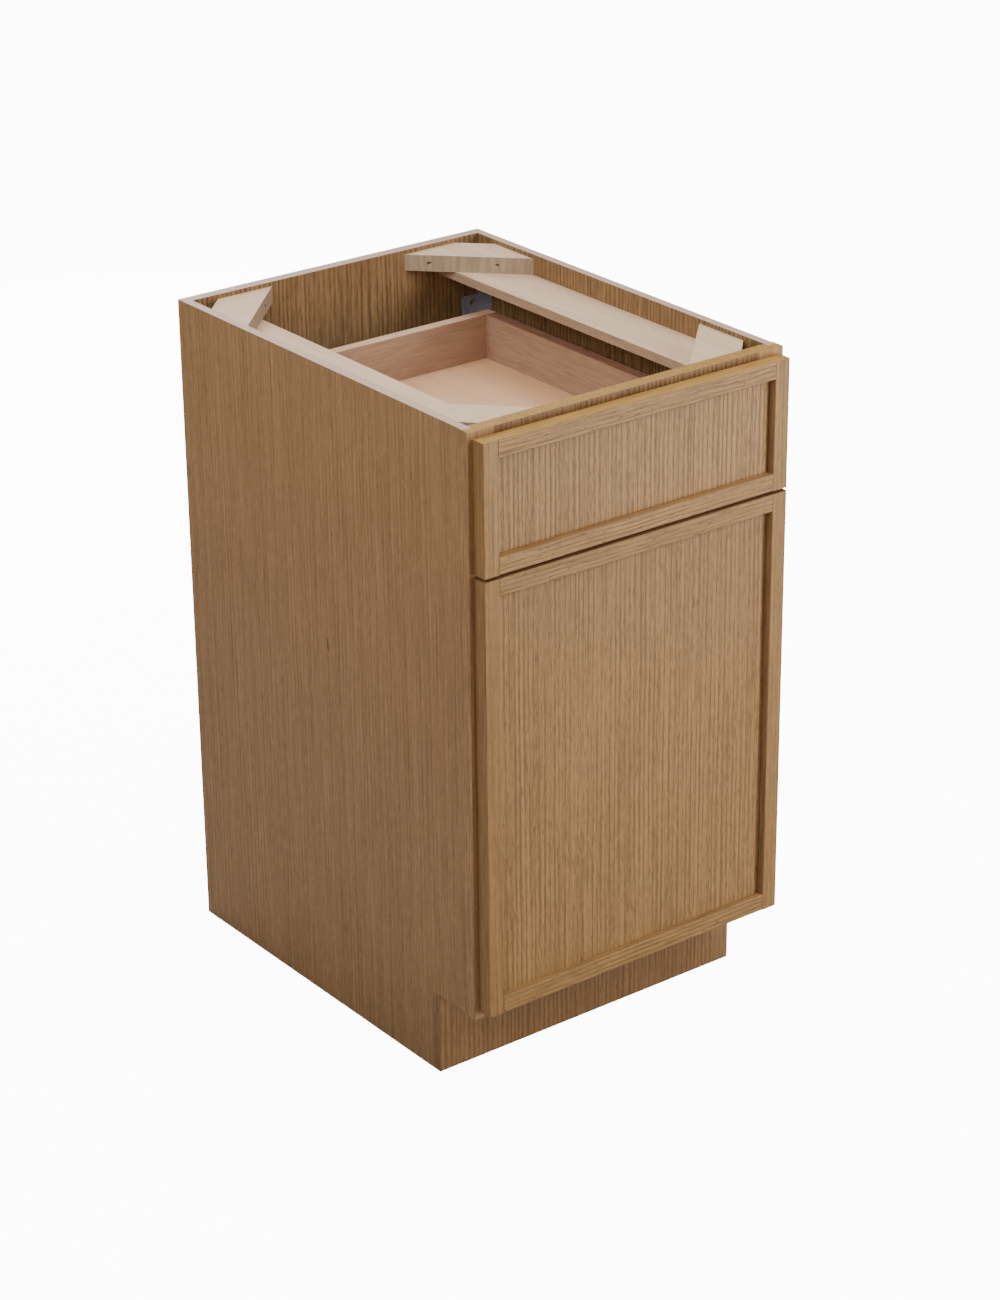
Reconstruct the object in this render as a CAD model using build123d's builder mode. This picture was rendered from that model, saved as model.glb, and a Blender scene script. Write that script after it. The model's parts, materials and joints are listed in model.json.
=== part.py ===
from build123d import *
import os

os.makedirs("parts", exist_ok=True)

# Case: a face frame on a plywood box with a toe space
case_width = 476.25
case_height = 876.3
case_depth = 609.6
ply = 12.0
back_ply = 16.0
frame_thick = 19.05
stile_width = 38.1
rail_height = 38.1
drawer_opening = 133.4
stile_overhang = 1.6
stile_groove = 8.0
tenon_length = 12.7
tenon_thick = 6.35
tenon_shoulder = 6.35
floor_housing = 4.0
toe_height = 111.1
toe_setback = 77.3

# Bracing under the worktop
strip_width = 72.0
block_drop = 6.0
block_thick = 22.0
block_leg = 120.0
block_cut = 38.0
block_screw_near = 23.3
block_screw_far = 33.7
block_head_sink = 6.0
block_screw_grip = 9.0

# Shelf on pins in rows of drilled holes
shelf_height = 394.0
shelf_side_gap = 1.0
shelf_setback = 70.0
pin_radius = 2.5
pin_depth = 9.5
pin_pitch = 32.0
pin_rows = 5
pin_inset = 45.0
pin_ledge = 1.5
pin_tongue = 10.0

# Overlay fronts: slim frames round a flat panel that is flush at the back
front_thick = 19.05
front_gap = 1.6
side_reveal = 6.35
top_reveal = 8.9
bottom_reveal = 9.9
front_spacing = 4.3
drawer_front_height = 166.6
front_member = 22.5
panel_recess = 9.5
panel_lap = 10.0
edge_ease = 0.8
bumper_radius = 4.0
bumper_inset = 11.0
bumper_air = 0.3

# Drawer box with through dovetails
box_clearance = 5.0
box_side = 16.0
box_back_room = 61.8
box_height = 79.55
bottom_recess = 12.7
bottom_thick = 6.35
bottom_groove = 6.0
box_lift = 7.95
tail_count = 4
pin_narrow = 6.0
tail_slope = 1 / 7
notch_width = 35.0
hook_radius = 2.8
hook_rise = 7.0
hook_length = 8.0

# Undermount slides: fixed channel, middle member on rollers, drawer member
slide_lift = 0.5
slide_back_room = 47.6
slide_front = 1.0
steel = 1.2
channel_inset = 22.7
channel_width = 17.4
channel_wall = 8.7
upstand_height = 6.7
slide_side_air = 0.8
slide_drop_air = 0.7
slide_top_air = 0.65
mid_stop = 115.0
mid_web = 1.6
runner_skirt = 10.8
roller_radius = 4.3
roller_width = 4.4
roller_air = 0.3
roller_inset = 26.0
roller_pitch = 60.0
base_hole_inset = 65.0
base_hole_count = 3
slide_screw_inset = 5.5
pocket_air = 0.8

# Rear brackets for the slides
bracket_thick = 1.5
bracket_top_room = 43.5
bracket_flange = 27.6
bracket_side_flange = 31.0
bracket_side_drop = 7.8
bracket_round = 6.0
bracket_neck = 52.0
bracket_hole = 4.0
bracket_hole_drop = 10.8
bracket_screw_drop = 34.0
bracket_screw_pitch = 40.0
bracket_screw_offset = 2.2
bracket_tray = 61.0

# Locking clips under the drawer front with release levers
clip_inset = 4.0
clip_length = 62.0
clip_width = 32.0
clip_plate = 2.5
clip_round = 4.0
clip_latch_width = 8.0
clip_latch_front = 6.0
clip_latch_length = 20.0
clip_latch_rise = 1.0
clip_boss = 3.0
clip_boss_head = 4.5
clip_head_thick = 0.8
lever_thick = 7.4
lever_width = 8.0
lever_length = 46.0
lever_end = 6.0
lever_round = 2.0
lever_tab_width = 6.0
lever_tab_length = 10.0
lever_boss_inset = 14.0
lever_air = 0.3

# Concealed hinges for thin panels, upper and lower alike
hinge_from_end = 89.0
cup_radius = 17.5
cup_depth = 8.3
cup_inset = 20.5
cup_wall = 0.7
cup_flange = 1.0
cup_flange_height = 54.0
cup_flange_reach = 16.0
cup_flange_edge = 8.5
cup_flange_round = 5.0
dowel_radius = 4.0
dowel_offset = 9.5
dowel_spread = 22.5
door_pivot_inset = 9.5
door_pivot_depth = 3.6
case_pivot_reach = 4.0
case_pivot_front = 5.0
hinge_pin_radius = 1.2
hinge_pin_air = 0.05
eye_radius = 2.1
link_thick = 1.4
link_bow = 1.4
link_half_width = 4.1
ear_gap = 0.3
ear_thick = 1.6
arm_plate = 1.6
arm_plate_height = 44.0
arm_plate_depth = 16.0
arm_plate_inset = 1.5
arm_plate_round = 3.0
arm_jaw = 2.4
arm_web = 1.4
arm_web_depth = 6.0
arm_nose_air = 0.4
arm_nose_reach = 2.4
arm_step = 0.6
arm_screw_spread = 15.0

# Wood screws: shank radius, head radius and head height
screw_fit = 0.05
head_crown = 0.6
block_screw = (1.95, 2.3, 2.2)
slide_screw = (1.6, 2.3, 1.4)
bracket_screw = (1.9, 3.6, 1.8)
arm_screw = (1.9, 3.4, 1.6)
front_screw = (2.0, 4.2, 1.8)
slide_screw_grip = 12.0
bracket_screw_grip = 12.0
arm_screw_grip = 12.0
front_screw_grip = 7.0
front_screw_spread = 120.0
front_screw_inset = 14.0
tip_room = 0.5

# Heights and depths that follow from the sizes above
overall_depth = case_depth + front_gap + front_thick
half_width = case_width / 2
side_out = half_width - stile_overhang
side_in = side_out - ply
opening_edge = half_width - stile_width
y_face = overall_depth / 2 - case_depth
y_frame_back = y_face + frame_thick
y_back = overall_depth / 2
y_inside_back = y_back - back_ply
y_front = -overall_depth / 2
y_front_back = y_face - front_gap
floor_top = toe_height + rail_height
top_rail_low = case_height - rail_height
middle_rail_high = top_rail_low - drawer_opening
middle_rail_low = middle_rail_high - rail_height
block_top = case_height - block_drop
block_low = block_top - block_thick
strip_low = block_low - ply
front_edge = half_width - side_reveal
drawer_front_high = case_height - top_reveal
drawer_front_low = drawer_front_high - drawer_front_height
door_high = drawer_front_low - front_spacing
door_low = toe_height + bottom_reveal
y_panel = y_front + panel_recess
box_out = opening_edge - box_clearance
box_in = box_out - box_side
box_low = middle_rail_high + box_lift
box_high = box_low + box_height
tail_pitch = box_height / tail_count
bottom_low = box_low + bottom_recess
bottom_high = bottom_low + bottom_thick
y_box_front = y_front_back + box_side
y_box_end = y_inside_back - box_back_room
y_box_back = y_box_end - box_side
slide_low = middle_rail_high + slide_lift
y_slide = (y_face + slide_front, y_inside_back - slide_back_room)
mid_length = y_slide[1] - y_slide[0] - mid_stop
channel_out = opening_edge - channel_inset
channel_in = channel_out - channel_width
bumper_height = front_gap - bumper_air
bracket_top = strip_low - bracket_top_room
z_pin = shelf_height - pin_ledge - pin_radius


def x_span(hand, near, far):
    """Low and high x of a piece between two distances from the middle, on the left or right hand."""
    return (near, far) if hand > 0 else (-far, -near)


def slab(x, y, z, mode=Mode.ADD):
    """Adds or cuts a square-edged block given by its low and high x, y and z."""
    with Locations(((x[0] + x[1]) / 2, (y[0] + y[1]) / 2, (z[0] + z[1]) / 2)):
        Box(x[1] - x[0], y[1] - y[0], z[1] - z[0], mode=mode)


def patch(u, v, mode=Mode.ADD):
    """Draws a rectangle on a sketch from its low and high corners."""
    with Locations(((u[0] + u[1]) / 2, (v[0] + v[1]) / 2)):
        Rectangle(u[1] - u[0], v[1] - v[0], mode=mode)


def drill(at, outward, radius, depth):
    """Drills a straight hole from a point, against its outward direction."""
    with Locations(Plane(origin=at, z_dir=outward).location):
        Hole(radius, depth)


def drive_screws(screws, shape):
    """Adds pan-head screws, each seated at its point with the shank running into the wood."""
    shank, head, head_height = shape
    for at, outward, length in screws:
        with Locations(Plane(origin=at, z_dir=outward).location):
            Cylinder(shank, length, align=(Align.CENTER, Align.CENTER, Align.MAX))
            Cone(head, head_crown * head, head_height, align=(Align.CENTER, Align.CENTER, Align.MIN))


def pilot_holes(screws, shape):
    """Drills the holes that screws of one kind run in."""
    for at, outward, length in screws:
        drill(at, outward, shape[0] + screw_fit, length + tip_room)


def save(builder, name):
    """Labels a finished piece and writes it under its own name."""
    builder.part.label = name
    export_step(builder.part, f"parts/{name}.step")


hands = (("left", -1), ("right", 1))

# Where the screws go: seat, outward direction and shank length
block_corners = [
    ("front_left", -1, y_frame_back, 1),
    ("front_right", 1, y_frame_back, 1),
    ("back_left", -1, y_inside_back, -1),
    ("back_right", 1, y_inside_back, -1),
]
block_screws = []
for _, hand, y_wall, run in block_corners:
    turned = hand * run > 0
    side_reach = block_screw_near if turned else block_screw_far
    wall_reach = block_screw_far if turned else block_screw_near
    z_screw = (block_low + block_top) / 2
    side_seat = side_reach - block_head_sink
    wall_seat = wall_reach - block_head_sink
    seat_side = (hand * (side_in - side_seat), y_wall + run * (block_leg - side_reach), z_screw)
    seat_wall = (hand * (side_in - block_leg + wall_reach), y_wall + run * wall_seat, z_screw)
    block_screws.append((seat_side, (-hand, 0, 0), side_seat + block_screw_grip))
    block_screws.append((seat_wall, (0, run, 0), wall_seat + block_screw_grip))

z_slide_screw = slide_low + (steel + upstand_height) / 2
slide_screws = [
    ((hand * (opening_edge - steel), y_face + y_offset, z_slide_screw), (-hand, 0, 0), slide_screw_grip)
    for _, hand in hands
    for y_offset in (slide_screw_inset, frame_thick - slide_screw_inset)
]
bracket_x = side_in - bracket_flange / 2 + bracket_screw_offset
y_bracket = y_inside_back - bracket_thick
z_bracket_screws = [bracket_top - bracket_screw_drop - step * bracket_screw_pitch for step in range(2)]
bracket_screws = [
    ((hand * bracket_x, y_bracket, z_screw), (0, -1, 0), bracket_screw_grip)
    for _, hand in hands
    for z_screw in z_bracket_screws
]
hinges = (("upper", door_high - hinge_from_end), ("lower", door_low + hinge_from_end))
x_plate = opening_edge - arm_plate
y_plate = (y_face + arm_plate_inset, y_face + arm_plate_inset + arm_plate_depth)
arm_screws = [
    ((x_plate, sum(y_plate) / 2, z_hinge + spread), (-1, 0, 0), arm_screw_grip)
    for _, z_hinge in hinges
    for spread in (-arm_screw_spread, arm_screw_spread)
]
front_screws = [
    ((x, y_box_front, z), (0, 1, 0), box_side + front_screw_grip)
    for x in (-front_screw_spread, front_screw_spread)
    for z in (bottom_high + front_screw_inset, box_high - front_screw_inset)
]

# Boxes of boards that sit in a groove or mortise of another piece
floor_box = ((-side_in - floor_housing, side_in + floor_housing), (y_frame_back, y_inside_back),
             (floor_top - ply, floor_top))
bottom_box = ((-box_in - bottom_groove, box_in + bottom_groove),
              (y_box_front - bottom_groove, y_box_back + bottom_groove), (bottom_low, bottom_high))
rails = (
    ("top_rail", top_rail_low, case_height),
    ("middle_rail", middle_rail_low, middle_rail_high),
    ("bottom_rail", toe_height, floor_top),
)
y_tenon = ((2 * y_face + frame_thick - tenon_thick) / 2, (2 * y_face + frame_thick + tenon_thick) / 2)
rail_reach = opening_edge + tenon_length

# Shelf-pin holes: two columns of rows centred on the shelf
pin_columns = (y_frame_back + shelf_setback + pin_inset, y_inside_back - pin_inset)
pin_heights = [z_pin + (row - pin_rows // 2) * pin_pitch for row in range(pin_rows)]
y_side_front = y_frame_back - stile_groove

# Side panels, notched for the toe space
for name, hand in hands:
    x_side = x_span(hand, side_in, side_out)
    with BuildPart() as side_panel:
        with BuildSketch(Plane.YZ.offset(x_side[0])):
            with BuildLine():
                Polyline(
                    (y_side_front, case_height),
                    (y_side_front, toe_height),
                    (y_face + toe_setback + ply, toe_height),
                    (y_face + toe_setback + ply, 0),
                    (y_back, 0),
                    (y_back, case_height),
                    close=True,
                )
            make_face()
        extrude(amount=ply)
        slab(*floor_box, mode=Mode.SUBTRACT)
        pilot_holes(block_screws, block_screw)
        for y_column in pin_columns:
            for z_hole in pin_heights:
                drill((hand * side_in, y_column, z_hole), (-hand, 0, 0), pin_radius, pin_depth)
    save(side_panel, f"side_{name}")

# Back panel between the sides
with BuildPart() as back_panel:
    slab((-side_in, side_in), (y_inside_back, y_back), (0, case_height))
    pilot_holes(block_screws, block_screw)
    pilot_holes(bracket_screws, bracket_screw)
save(back_panel, "back_panel")

# Cabinet floor, flush with the bottom rail
with BuildPart() as floor_panel:
    slab(*floor_box)
save(floor_panel, "floor_panel")

# Board across the toe space, over the ends of both sides
with BuildPart() as toe_board:
    slab((-side_out, side_out), (y_face + toe_setback, y_face + toe_setback + ply), (0, toe_height))
save(toe_board, "toe_board")

# Face frame stiles: grooved for the sides and mortised for the rails
for name, hand in hands:
    with BuildPart() as stile:
        slab(x_span(hand, opening_edge, half_width), (y_face, y_frame_back), (toe_height, case_height))
        y_groove = (y_side_front, y_frame_back)
        slab(x_span(hand, side_in, side_out), y_groove, (toe_height, case_height), Mode.SUBTRACT)
        for _, z_low, z_high in rails:
            z_tenon = (z_low + tenon_shoulder, z_high - tenon_shoulder)
            slab(x_span(hand, opening_edge, rail_reach), y_tenon, z_tenon, Mode.SUBTRACT)
        pilot_holes(slide_screws, slide_screw)
        pilot_holes(arm_screws, arm_screw)
    save(stile, f"stile_{name}")

# Face frame rails with a tenon at each end
for name, z_low, z_high in rails:
    with BuildPart() as rail:
        slab((-opening_edge, opening_edge), (y_face, y_frame_back), (z_low, z_high))
        slab((-rail_reach, rail_reach), y_tenon, (z_low + tenon_shoulder, z_high - tenon_shoulder))
        if name == "top_rail":
            pilot_holes(block_screws, block_screw)
    save(rail, name)

# Plywood strips along the sides, under the corner blocks
for name, hand in hands:
    with BuildPart() as top_strip:
        x_strip = x_span(hand, side_in - strip_width, side_in)
        slab(x_strip, (y_frame_back, y_inside_back), (strip_low, block_low))
    save(top_strip, f"top_strip_{name}")

# Corner blocks: one slant-cut block turned into each corner
for name, hand, y_wall, run in block_corners:
    with BuildPart() as corner_block:
        with BuildSketch(Plane.XY.offset(block_low)):
            with BuildLine():
                Polyline(
                    (hand * (side_in - block_cut), y_wall),
                    (hand * (side_in - block_leg), y_wall),
                    (hand * side_in, y_wall + run * block_leg),
                    (hand * side_in, y_wall + run * block_cut),
                    close=True,
                )
            make_face()
        extrude(amount=block_thick)
        pilot_holes(block_screws, block_screw)
        for seat, outward, length in block_screws:
            mouth = Vector(*seat) + Vector(*outward) * 2 * block_head_sink
            drill(mouth, outward, block_screw[1] + 4 * screw_fit, 2 * block_head_sink)
    save(corner_block, f"corner_block_{name}")

with BuildPart() as screws:
    drive_screws(block_screws, block_screw)
save(screws, "block_screws")

# Shelf on four pins
y_shelf = (y_frame_back + shelf_setback, y_inside_back - shelf_side_gap)
with BuildPart() as shelf:
    slab((-side_in + shelf_side_gap, side_in - shelf_side_gap), y_shelf, (shelf_height, shelf_height + ply))
save(shelf, "shelf")

with BuildPart() as shelf_pins:
    for _, hand in hands:
        for y_column in pin_columns:
            pin_start = Plane(origin=(hand * (side_in - pin_radius), y_column, z_pin), z_dir=(hand, 0, 0))
            with Locations(pin_start.location):
                Cylinder(pin_radius - screw_fit, pin_depth + pin_radius - tip_room,
                         align=(Align.CENTER, Align.CENTER, Align.MIN))
            y_tongue = (y_column - 2 * pin_radius, y_column + 2 * pin_radius)
            x_ledge = x_span(hand, side_in - pin_tongue, side_in - screw_fit)
            slab(x_ledge, y_tongue, (shelf_height - pin_ledge, shelf_height))
            x_heel = x_span(hand, side_in - pin_radius, side_in - screw_fit)
            slab(x_heel, y_tongue, (z_pin - pin_radius, shelf_height))
save(shelf_pins, "shelf_pins")

# Fronts: stiles run full height, rails lap between them, panels sit in the rebates
lap_inset = front_member - panel_lap


def member_outline(outer, toward):
    """Points of a frame member's section, across its width and depth, from its outer edge inward."""
    inner = outer + toward * front_member
    lap = outer + toward * lap_inset
    return [
        (outer, y_front + edge_ease),
        (outer, y_front_back),
        (lap, y_front_back),
        (lap, y_panel),
        (inner, y_panel),
        (inner, y_front + edge_ease),
        (inner - toward * edge_ease, y_front),
        (outer + toward * edge_ease, y_front),
    ]


x_door_pivot = front_edge - door_pivot_inset
y_door_pivot = y_front_back - door_pivot_depth
x_case_pivot = opening_edge + case_pivot_reach
y_case_pivot = y_face - case_pivot_front
x_cup = front_edge - cup_inset


def bore_for_hinges():
    """Cuts the cup and dowel bores of both hinges into a piece of the door."""
    for _, z_hinge in hinges:
        drill((x_cup, y_front_back, z_hinge), (0, 1, 0), cup_radius, cup_depth)
        for spread in (-dowel_spread, dowel_spread):
            at = (x_cup - dowel_offset, y_front_back, z_hinge + spread)
            drill(at, (0, 1, 0), dowel_radius + screw_fit, cup_depth)


fronts = (("drawer_front", drawer_front_low, drawer_front_high), ("door", door_low, door_high))
for front, z_low, z_high in fronts:
    for name, hand in hands:
        with BuildPart() as front_stile:
            with BuildSketch(Plane.XY.offset(z_low)):
                with BuildLine():
                    Polyline(*member_outline(hand * front_edge, -hand), close=True)
                make_face()
            extrude(amount=z_high - z_low)
            if front == "door" and hand > 0:
                bore_for_hinges()
        save(front_stile, f"{front}_stile_{name}")

    for name, z_outer, toward in (("top", z_high, -1), ("bottom", z_low, 1)):
        inner_edge = front_edge - front_member
        z_lap = sorted((z_outer, z_outer + toward * lap_inset))
        with BuildPart() as front_rail:
            with BuildSketch(Plane.YZ.offset(-inner_edge)):
                with BuildLine():
                    Polyline(*[(y, z) for z, y in member_outline(z_outer, toward)], close=True)
                make_face()
            extrude(amount=2 * inner_edge)
            slab((-front_edge + lap_inset, front_edge - lap_inset), (y_panel, y_front_back), z_lap)
        save(front_rail, f"{front}_rail_{name}")

    with BuildPart() as front_panel:
        slab((-front_edge + lap_inset, front_edge - lap_inset), (y_panel, y_front_back),
             (z_low + lap_inset, z_high - lap_inset))
        if front == "door":
            bore_for_hinges()
        else:
            pilot_holes(front_screws, front_screw)
    save(front_panel, f"{front}_panel")

bumper_spots = {
    "drawer_bumpers": [(hand * (front_edge - bumper_inset), z) for _, hand in hands
                       for z in (drawer_front_low + bumper_inset, drawer_front_high - bumper_inset)],
    "door_bumpers": [(-front_edge + bumper_inset, z)
                     for z in (door_low + bumper_inset, door_high - bumper_inset)],
}
for name, spots in bumper_spots.items():
    with BuildPart() as bumpers:
        with BuildSketch(Plane.XZ.offset(-y_front_back)):
            with Locations(*spots):
                Circle(bumper_radius)
        extrude(amount=-bumper_height)
        fillet(bumpers.faces().group_by(Axis.Y)[-1].edges(), bumper_height / 2)
    save(bumpers, name)

# Drawer box: tails on the sides, pins on the front and back


def draw_tails(y_out, inward):
    """Draws the tails of one corner on a y-z sketch, widest at the outer face."""
    for tail in range(tail_count):
        z_tail = box_low + (tail + 0.5) * tail_pitch
        wide = (tail_pitch - pin_narrow) / 2
        narrow = wide - tail_slope * box_side
        y_in = y_out + inward * box_side
        outer = ((y_out, z_tail - wide), (y_out, z_tail + wide))
        inner = ((y_in, z_tail + narrow), (y_in, z_tail - narrow))
        Polygon(*outer, *inner, align=None)


box_ends = ((y_front_back, 1), (y_box_end, -1))
for name, hand in hands:
    x_side = x_span(hand, box_in, box_out)
    with BuildPart() as box_side_board:
        slab(x_side, (y_box_front, y_box_back), (box_low, box_high))
        with BuildSketch(Plane.YZ.offset(x_side[0])):
            for y_out, inward in box_ends:
                draw_tails(y_out, inward)
        extrude(amount=box_side)
        slab(*bottom_box, mode=Mode.SUBTRACT)
    save(box_side_board, f"drawer_side_{name}")

x_hook = (channel_in + channel_out) / 2
z_hook = bottom_high + hook_rise
for name, (y_out, inward) in zip(("drawer_box_front", "drawer_box_back"), box_ends):
    with BuildPart() as end_board:
        slab((-box_out, box_out), sorted((y_out, y_out + inward * box_side)), (box_low, box_high))
        for _, hand in hands:
            x_side = x_span(hand, box_in, box_out)
            with BuildSketch(Plane.YZ.offset(x_side[0])):
                draw_tails(y_out, inward)
            extrude(amount=box_side, mode=Mode.SUBTRACT)
        slab(*bottom_box, mode=Mode.SUBTRACT)
        if name == "drawer_box_back":
            for _, hand in hands:
                x_notch = x_span(hand, box_in - notch_width, box_out)
                slab(x_notch, (y_box_back, y_box_end), (box_low, bottom_low), Mode.SUBTRACT)
                hole_radius = hook_radius + 2 * screw_fit
                drill((hand * x_hook, y_box_end, z_hook), (0, 1, 0), hole_radius, hook_length)
        else:
            pilot_holes(front_screws, front_screw)
    save(end_board, name)

with BuildPart() as drawer_bottom:
    slab(*bottom_box)
save(drawer_bottom, "drawer_bottom")

with BuildPart() as screws:
    drive_screws(front_screws, front_screw)
save(screws, "drawer_front_screws")

# Slides: the section of each member runs along the depth of the case
y_channel_wall = y_box_front + slide_front
mid_low = slide_low + steel + slide_drop_air
runner_low = bottom_low - steel
mid_high = runner_low - slide_top_air
y_mid = (y_channel_wall + slide_front, y_channel_wall + slide_front + mid_length)
lower_rollers = [y_mid[1] - roller_inset - step * roller_pitch for step in range(2)]
upper_rollers = [y_mid[0] + roller_inset + step * roller_pitch for step in range(2)]
z_lower_roller = slide_low + steel + roller_air + roller_radius
z_upper_roller = runner_low - roller_air - roller_radius

for name, hand in hands:
    walls = (x_span(hand, channel_in, channel_in + steel), x_span(hand, channel_out - steel, channel_out))
    with BuildPart() as slide_base:
        slab(x_span(hand, channel_in, opening_edge), y_slide, (slide_low, slide_low + steel))
        for x_wall in walls:
            slab(x_wall, (y_channel_wall, y_slide[1]), (slide_low, slide_low + channel_wall))
        z_upstand = (slide_low, slide_low + upstand_height)
        slab(x_span(hand, opening_edge - steel, opening_edge), y_slide, z_upstand)
        pilot_holes(slide_screws, slide_screw)
        hole_pitch = (y_slide[1] - y_slide[0] - 2 * base_hole_inset) / (base_hole_count - 1)
        for step in range(base_hole_count):
            y_hole = y_slide[0] + base_hole_inset + step * hole_pitch
            hole_at = (hand * (channel_out + opening_edge) / 2, y_hole, slide_low + steel)
            drill(hole_at, (0, 0, 1), hook_radius, steel)
    save(slide_base, f"slide_base_{name}")

    x_mid = (channel_in + steel + slide_side_air, channel_out - steel - slide_side_air)
    x_web = (x_hook - mid_web / 2, x_hook + mid_web / 2)
    with BuildPart() as slide_mid:
        with BuildSketch(Plane.XZ.offset(-y_mid[1])):
            patch(x_span(hand, *x_mid), (mid_low, mid_low + steel))
            patch(x_span(hand, *x_mid), (mid_high - steel, mid_high))
            patch(x_span(hand, *x_web), (mid_low, mid_high))
        extrude(amount=mid_length)
        pocket = roller_radius + pocket_air
        webs = ((lower_rollers, (mid_low, mid_low + steel)), (upper_rollers, (mid_high - steel, mid_high)))
        for y_rollers, z_flange in webs:
            for y_roller in y_rollers:
                for x_pocket in ((x_mid[0], x_web[0]), (x_web[1], x_mid[1])):
                    y_pocket = (y_roller - pocket, y_roller + pocket)
                    slab(x_span(hand, *x_pocket), y_pocket, z_flange, Mode.SUBTRACT)
    save(slide_mid, f"slide_mid_{name}")

    roller_spots = [(y, z_lower_roller) for y in lower_rollers]
    roller_spots += [(y, z_upper_roller) for y in upper_rollers]
    with BuildPart() as slide_rollers:
        for near in (x_web[0] - roller_width, x_web[1]):
            with BuildSketch(Plane.YZ.offset(x_span(hand, near, near + roller_width)[0])):
                with Locations(*roller_spots):
                    Circle(roller_radius)
            extrude(amount=roller_width)
    save(slide_rollers, f"slide_rollers_{name}")

    y_runner = (y_box_front + slide_front, y_box_end + screw_fit)
    with BuildPart() as drawer_runner:
        with BuildSketch(Plane.XZ.offset(-y_runner[1])):
            patch(x_span(hand, channel_in, channel_out), (runner_low, bottom_low))
            for x_wall in walls:
                patch(x_wall, (bottom_low - runner_skirt, bottom_low))
        extrude(amount=y_runner[1] - y_runner[0])
        slab(x_span(hand, channel_in, channel_out), (y_runner[1], y_runner[1] + steel),
             (runner_low, z_hook + 2 * hook_radius))
        hook = Plane(origin=(hand * x_hook, y_runner[1] + steel, z_hook), z_dir=(0, -1, 0))
        with Locations(hook.location):
            Cylinder(hook_radius, hook_length, align=(Align.CENTER, Align.CENTER, Align.MIN))
    save(drawer_runner, f"drawer_runner_{name}")

    # Rear bracket: back flange, side flange and the tray under the slide
    z_tray = (slide_low - bracket_thick, slide_low)
    with BuildPart() as rear_bracket:
        with BuildSketch(Plane.XZ.offset(-y_inside_back)):
            patch(x_span(hand, side_in - bracket_flange, side_in), (z_tray[0], bracket_top))
            patch(x_span(hand, channel_in, side_in), (z_tray[0], bracket_top - bracket_neck))
        extrude(amount=bracket_thick)
        tip = rear_bracket.edges().filter_by(Axis.Y).group_by(Axis.Z)[-1].sort_by(Axis.X)
        fillet(tip[0] if hand > 0 else tip[-1], bracket_round)
        y_flange = (y_inside_back - bracket_side_flange, y_inside_back)
        z_flange = (z_tray[0], bracket_top - bracket_side_drop)
        slab(x_span(hand, side_in - bracket_thick, side_in), y_flange, z_flange)
        slab(x_span(hand, channel_in, channel_out), (y_inside_back - bracket_tray, y_inside_back), z_tray)
        hole_at = (hand * bracket_x, y_bracket, bracket_top - bracket_hole_drop)
        drill(hole_at, (0, -1, 0), bracket_hole, bracket_thick)
        pilot_holes(bracket_screws, bracket_screw)
    save(rear_bracket, f"rear_bracket_{name}")

    # Locking clip under the drawer bottom and its release lever
    x_clip = (channel_in - clip_inset - clip_width, channel_in - clip_inset)
    y_clip = (y_box_front + slide_front, y_box_front + slide_front + clip_length)
    x_boss = x_clip[0] + clip_width / 2
    y_boss = y_clip[1] - lever_boss_inset
    lever_high = bottom_low - clip_plate - lever_air
    lever_low = lever_high - lever_thick
    with BuildPart() as locking_clip:
        slab(x_span(hand, *x_clip), y_clip, (bottom_low - clip_plate, bottom_low))
        fillet(locking_clip.edges().filter_by(Axis.Z), clip_round)
        x_latch = x_span(hand, x_clip[1] - clip_latch_width, channel_in)
        y_latch = (y_clip[0] + clip_latch_front, y_clip[0] + clip_latch_front + clip_latch_length)
        slab(x_latch, y_latch, (bottom_low - runner_skirt + clip_latch_rise, bottom_low))
        with BuildSketch(Plane.XY.offset(bottom_low - clip_plate)):
            with Locations((hand * x_boss, y_boss)):
                Circle(clip_boss)
        extrude(amount=-(lever_thick + 2 * lever_air))
        with BuildSketch(Plane.XY.offset(lever_low - lever_air)):
            with Locations((hand * x_boss, y_boss)):
                Circle(clip_boss_head)
        extrude(amount=-clip_head_thick)
    save(locking_clip, f"locking_clip_{name}")

    with BuildPart() as clip_lever:
        with BuildSketch(Plane.XY.offset(lever_low)):
            with Locations((hand * x_boss, y_boss)):
                Circle(lever_end)
            x_lever = x_span(hand, x_boss - lever_width / 2, x_boss + lever_width / 2)
            patch(x_lever, (y_boss - lever_length, y_boss))
            x_tab = x_span(hand, x_boss - lever_width / 2 - lever_tab_width, x_boss + lever_width / 2)
            patch(x_tab, (y_boss - lever_length, y_boss - lever_length + lever_tab_length))
            with Locations((hand * x_boss, y_boss)):
                Circle(clip_boss + screw_fit, mode=Mode.SUBTRACT)
        extrude(amount=lever_thick)
        corners = clip_lever.edges().filter_by(Axis.Z).group_by(Axis.Y)[0]
        fillet(corners, lever_round)
    save(clip_lever, f"clip_lever_{name}")

with BuildPart() as screws:
    drive_screws(slide_screws, slide_screw)
    drive_screws(bracket_screws, bracket_screw)
save(screws, "slide_screws")

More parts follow.
